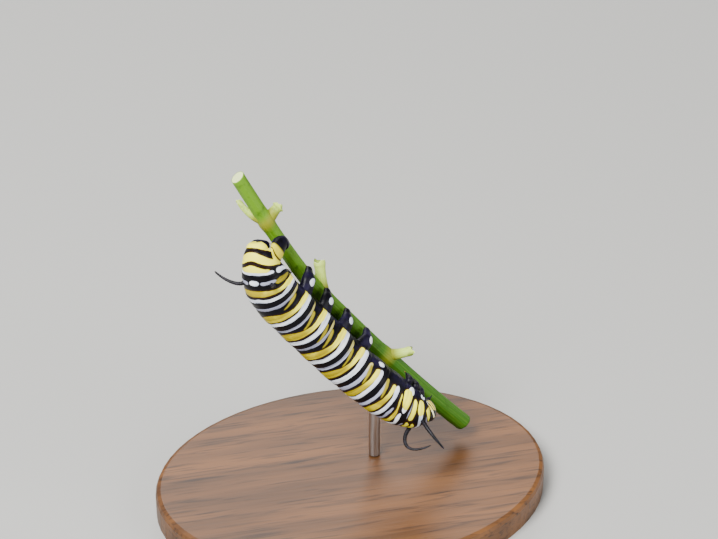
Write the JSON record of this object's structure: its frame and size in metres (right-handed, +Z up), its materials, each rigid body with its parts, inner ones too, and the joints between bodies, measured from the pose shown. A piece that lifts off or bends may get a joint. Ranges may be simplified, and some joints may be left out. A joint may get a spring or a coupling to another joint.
{
  "type": "monarch butterfly larva display model",
  "caption": "Still life-size model of a black, white and yellow banded monarch larva clinging head-down to a cut length of milkweed stem, held above a plain oval stand.",
  "frame": {"origin": "centre of the oval base's underside, on the floor", "axes": "+Z up, +X along the base's long side, the way the stem slopes down and the head points; the animal's back faces -Y, towards the picture's camera"},
  "size_m": [0.062, 0.044, 0.0592],
  "materials": {
    "banded_skin": "soft satin skin, cross-banded black, white and yellow",
    "dark_skin": "soft satin skin, black with a purple cast",
    "head_capsule": "glossy hard shell, black with yellow stripes",
    "green_stem": "satin green plant stem with fine down",
    "stand_wood": "oiled, fine grain",
    "stand_steel": "brushed"
  },
  "bodies": {
    "root": {"head": "head_capsule", "thorax_1": "banded_skin", "thorax_2": "banded_skin", "thorax_3": "banded_skin", "abdomen_1": "banded_skin", "abdomen_2": "banded_skin", "abdomen_3": "banded_skin", "abdomen_4": "banded_skin", "abdomen_5": "banded_skin", "abdomen_6": "banded_skin", "abdomen_7": "banded_skin", "abdomen_8": "banded_skin", "abdomen_9_10": "banded_skin", "leg_1_left": "dark_skin", "leg_1_right": "dark_skin", "leg_2_left": "dark_skin", "leg_2_right": "dark_skin", "leg_3_left": "dark_skin", "leg_3_right": "dark_skin", "proleg_3_left": "dark_skin", "proleg_3_right": "dark_skin", "proleg_4_left": "dark_skin", "proleg_4_right": "dark_skin", "proleg_5_left": "dark_skin", "proleg_5_right": "dark_skin", "proleg_6_left": "dark_skin", "proleg_6_right": "dark_skin", "anal_proleg_left": "dark_skin", "anal_proleg_right": "dark_skin", "front_tentacle_left": "dark_skin", "front_tentacle_right": "dark_skin", "rear_tentacle_left": "dark_skin", "rear_tentacle_right": "dark_skin", "perch_stem": "green_stem", "perch_stalk_1": "green_stem", "perch_stalk_2": "green_stem", "perch_stalk_3": "green_stem", "perch_stalk_4": "green_stem", "stand_base": "stand_wood", "stand_rod": "stand_steel"}
  },
  "joints": []
}
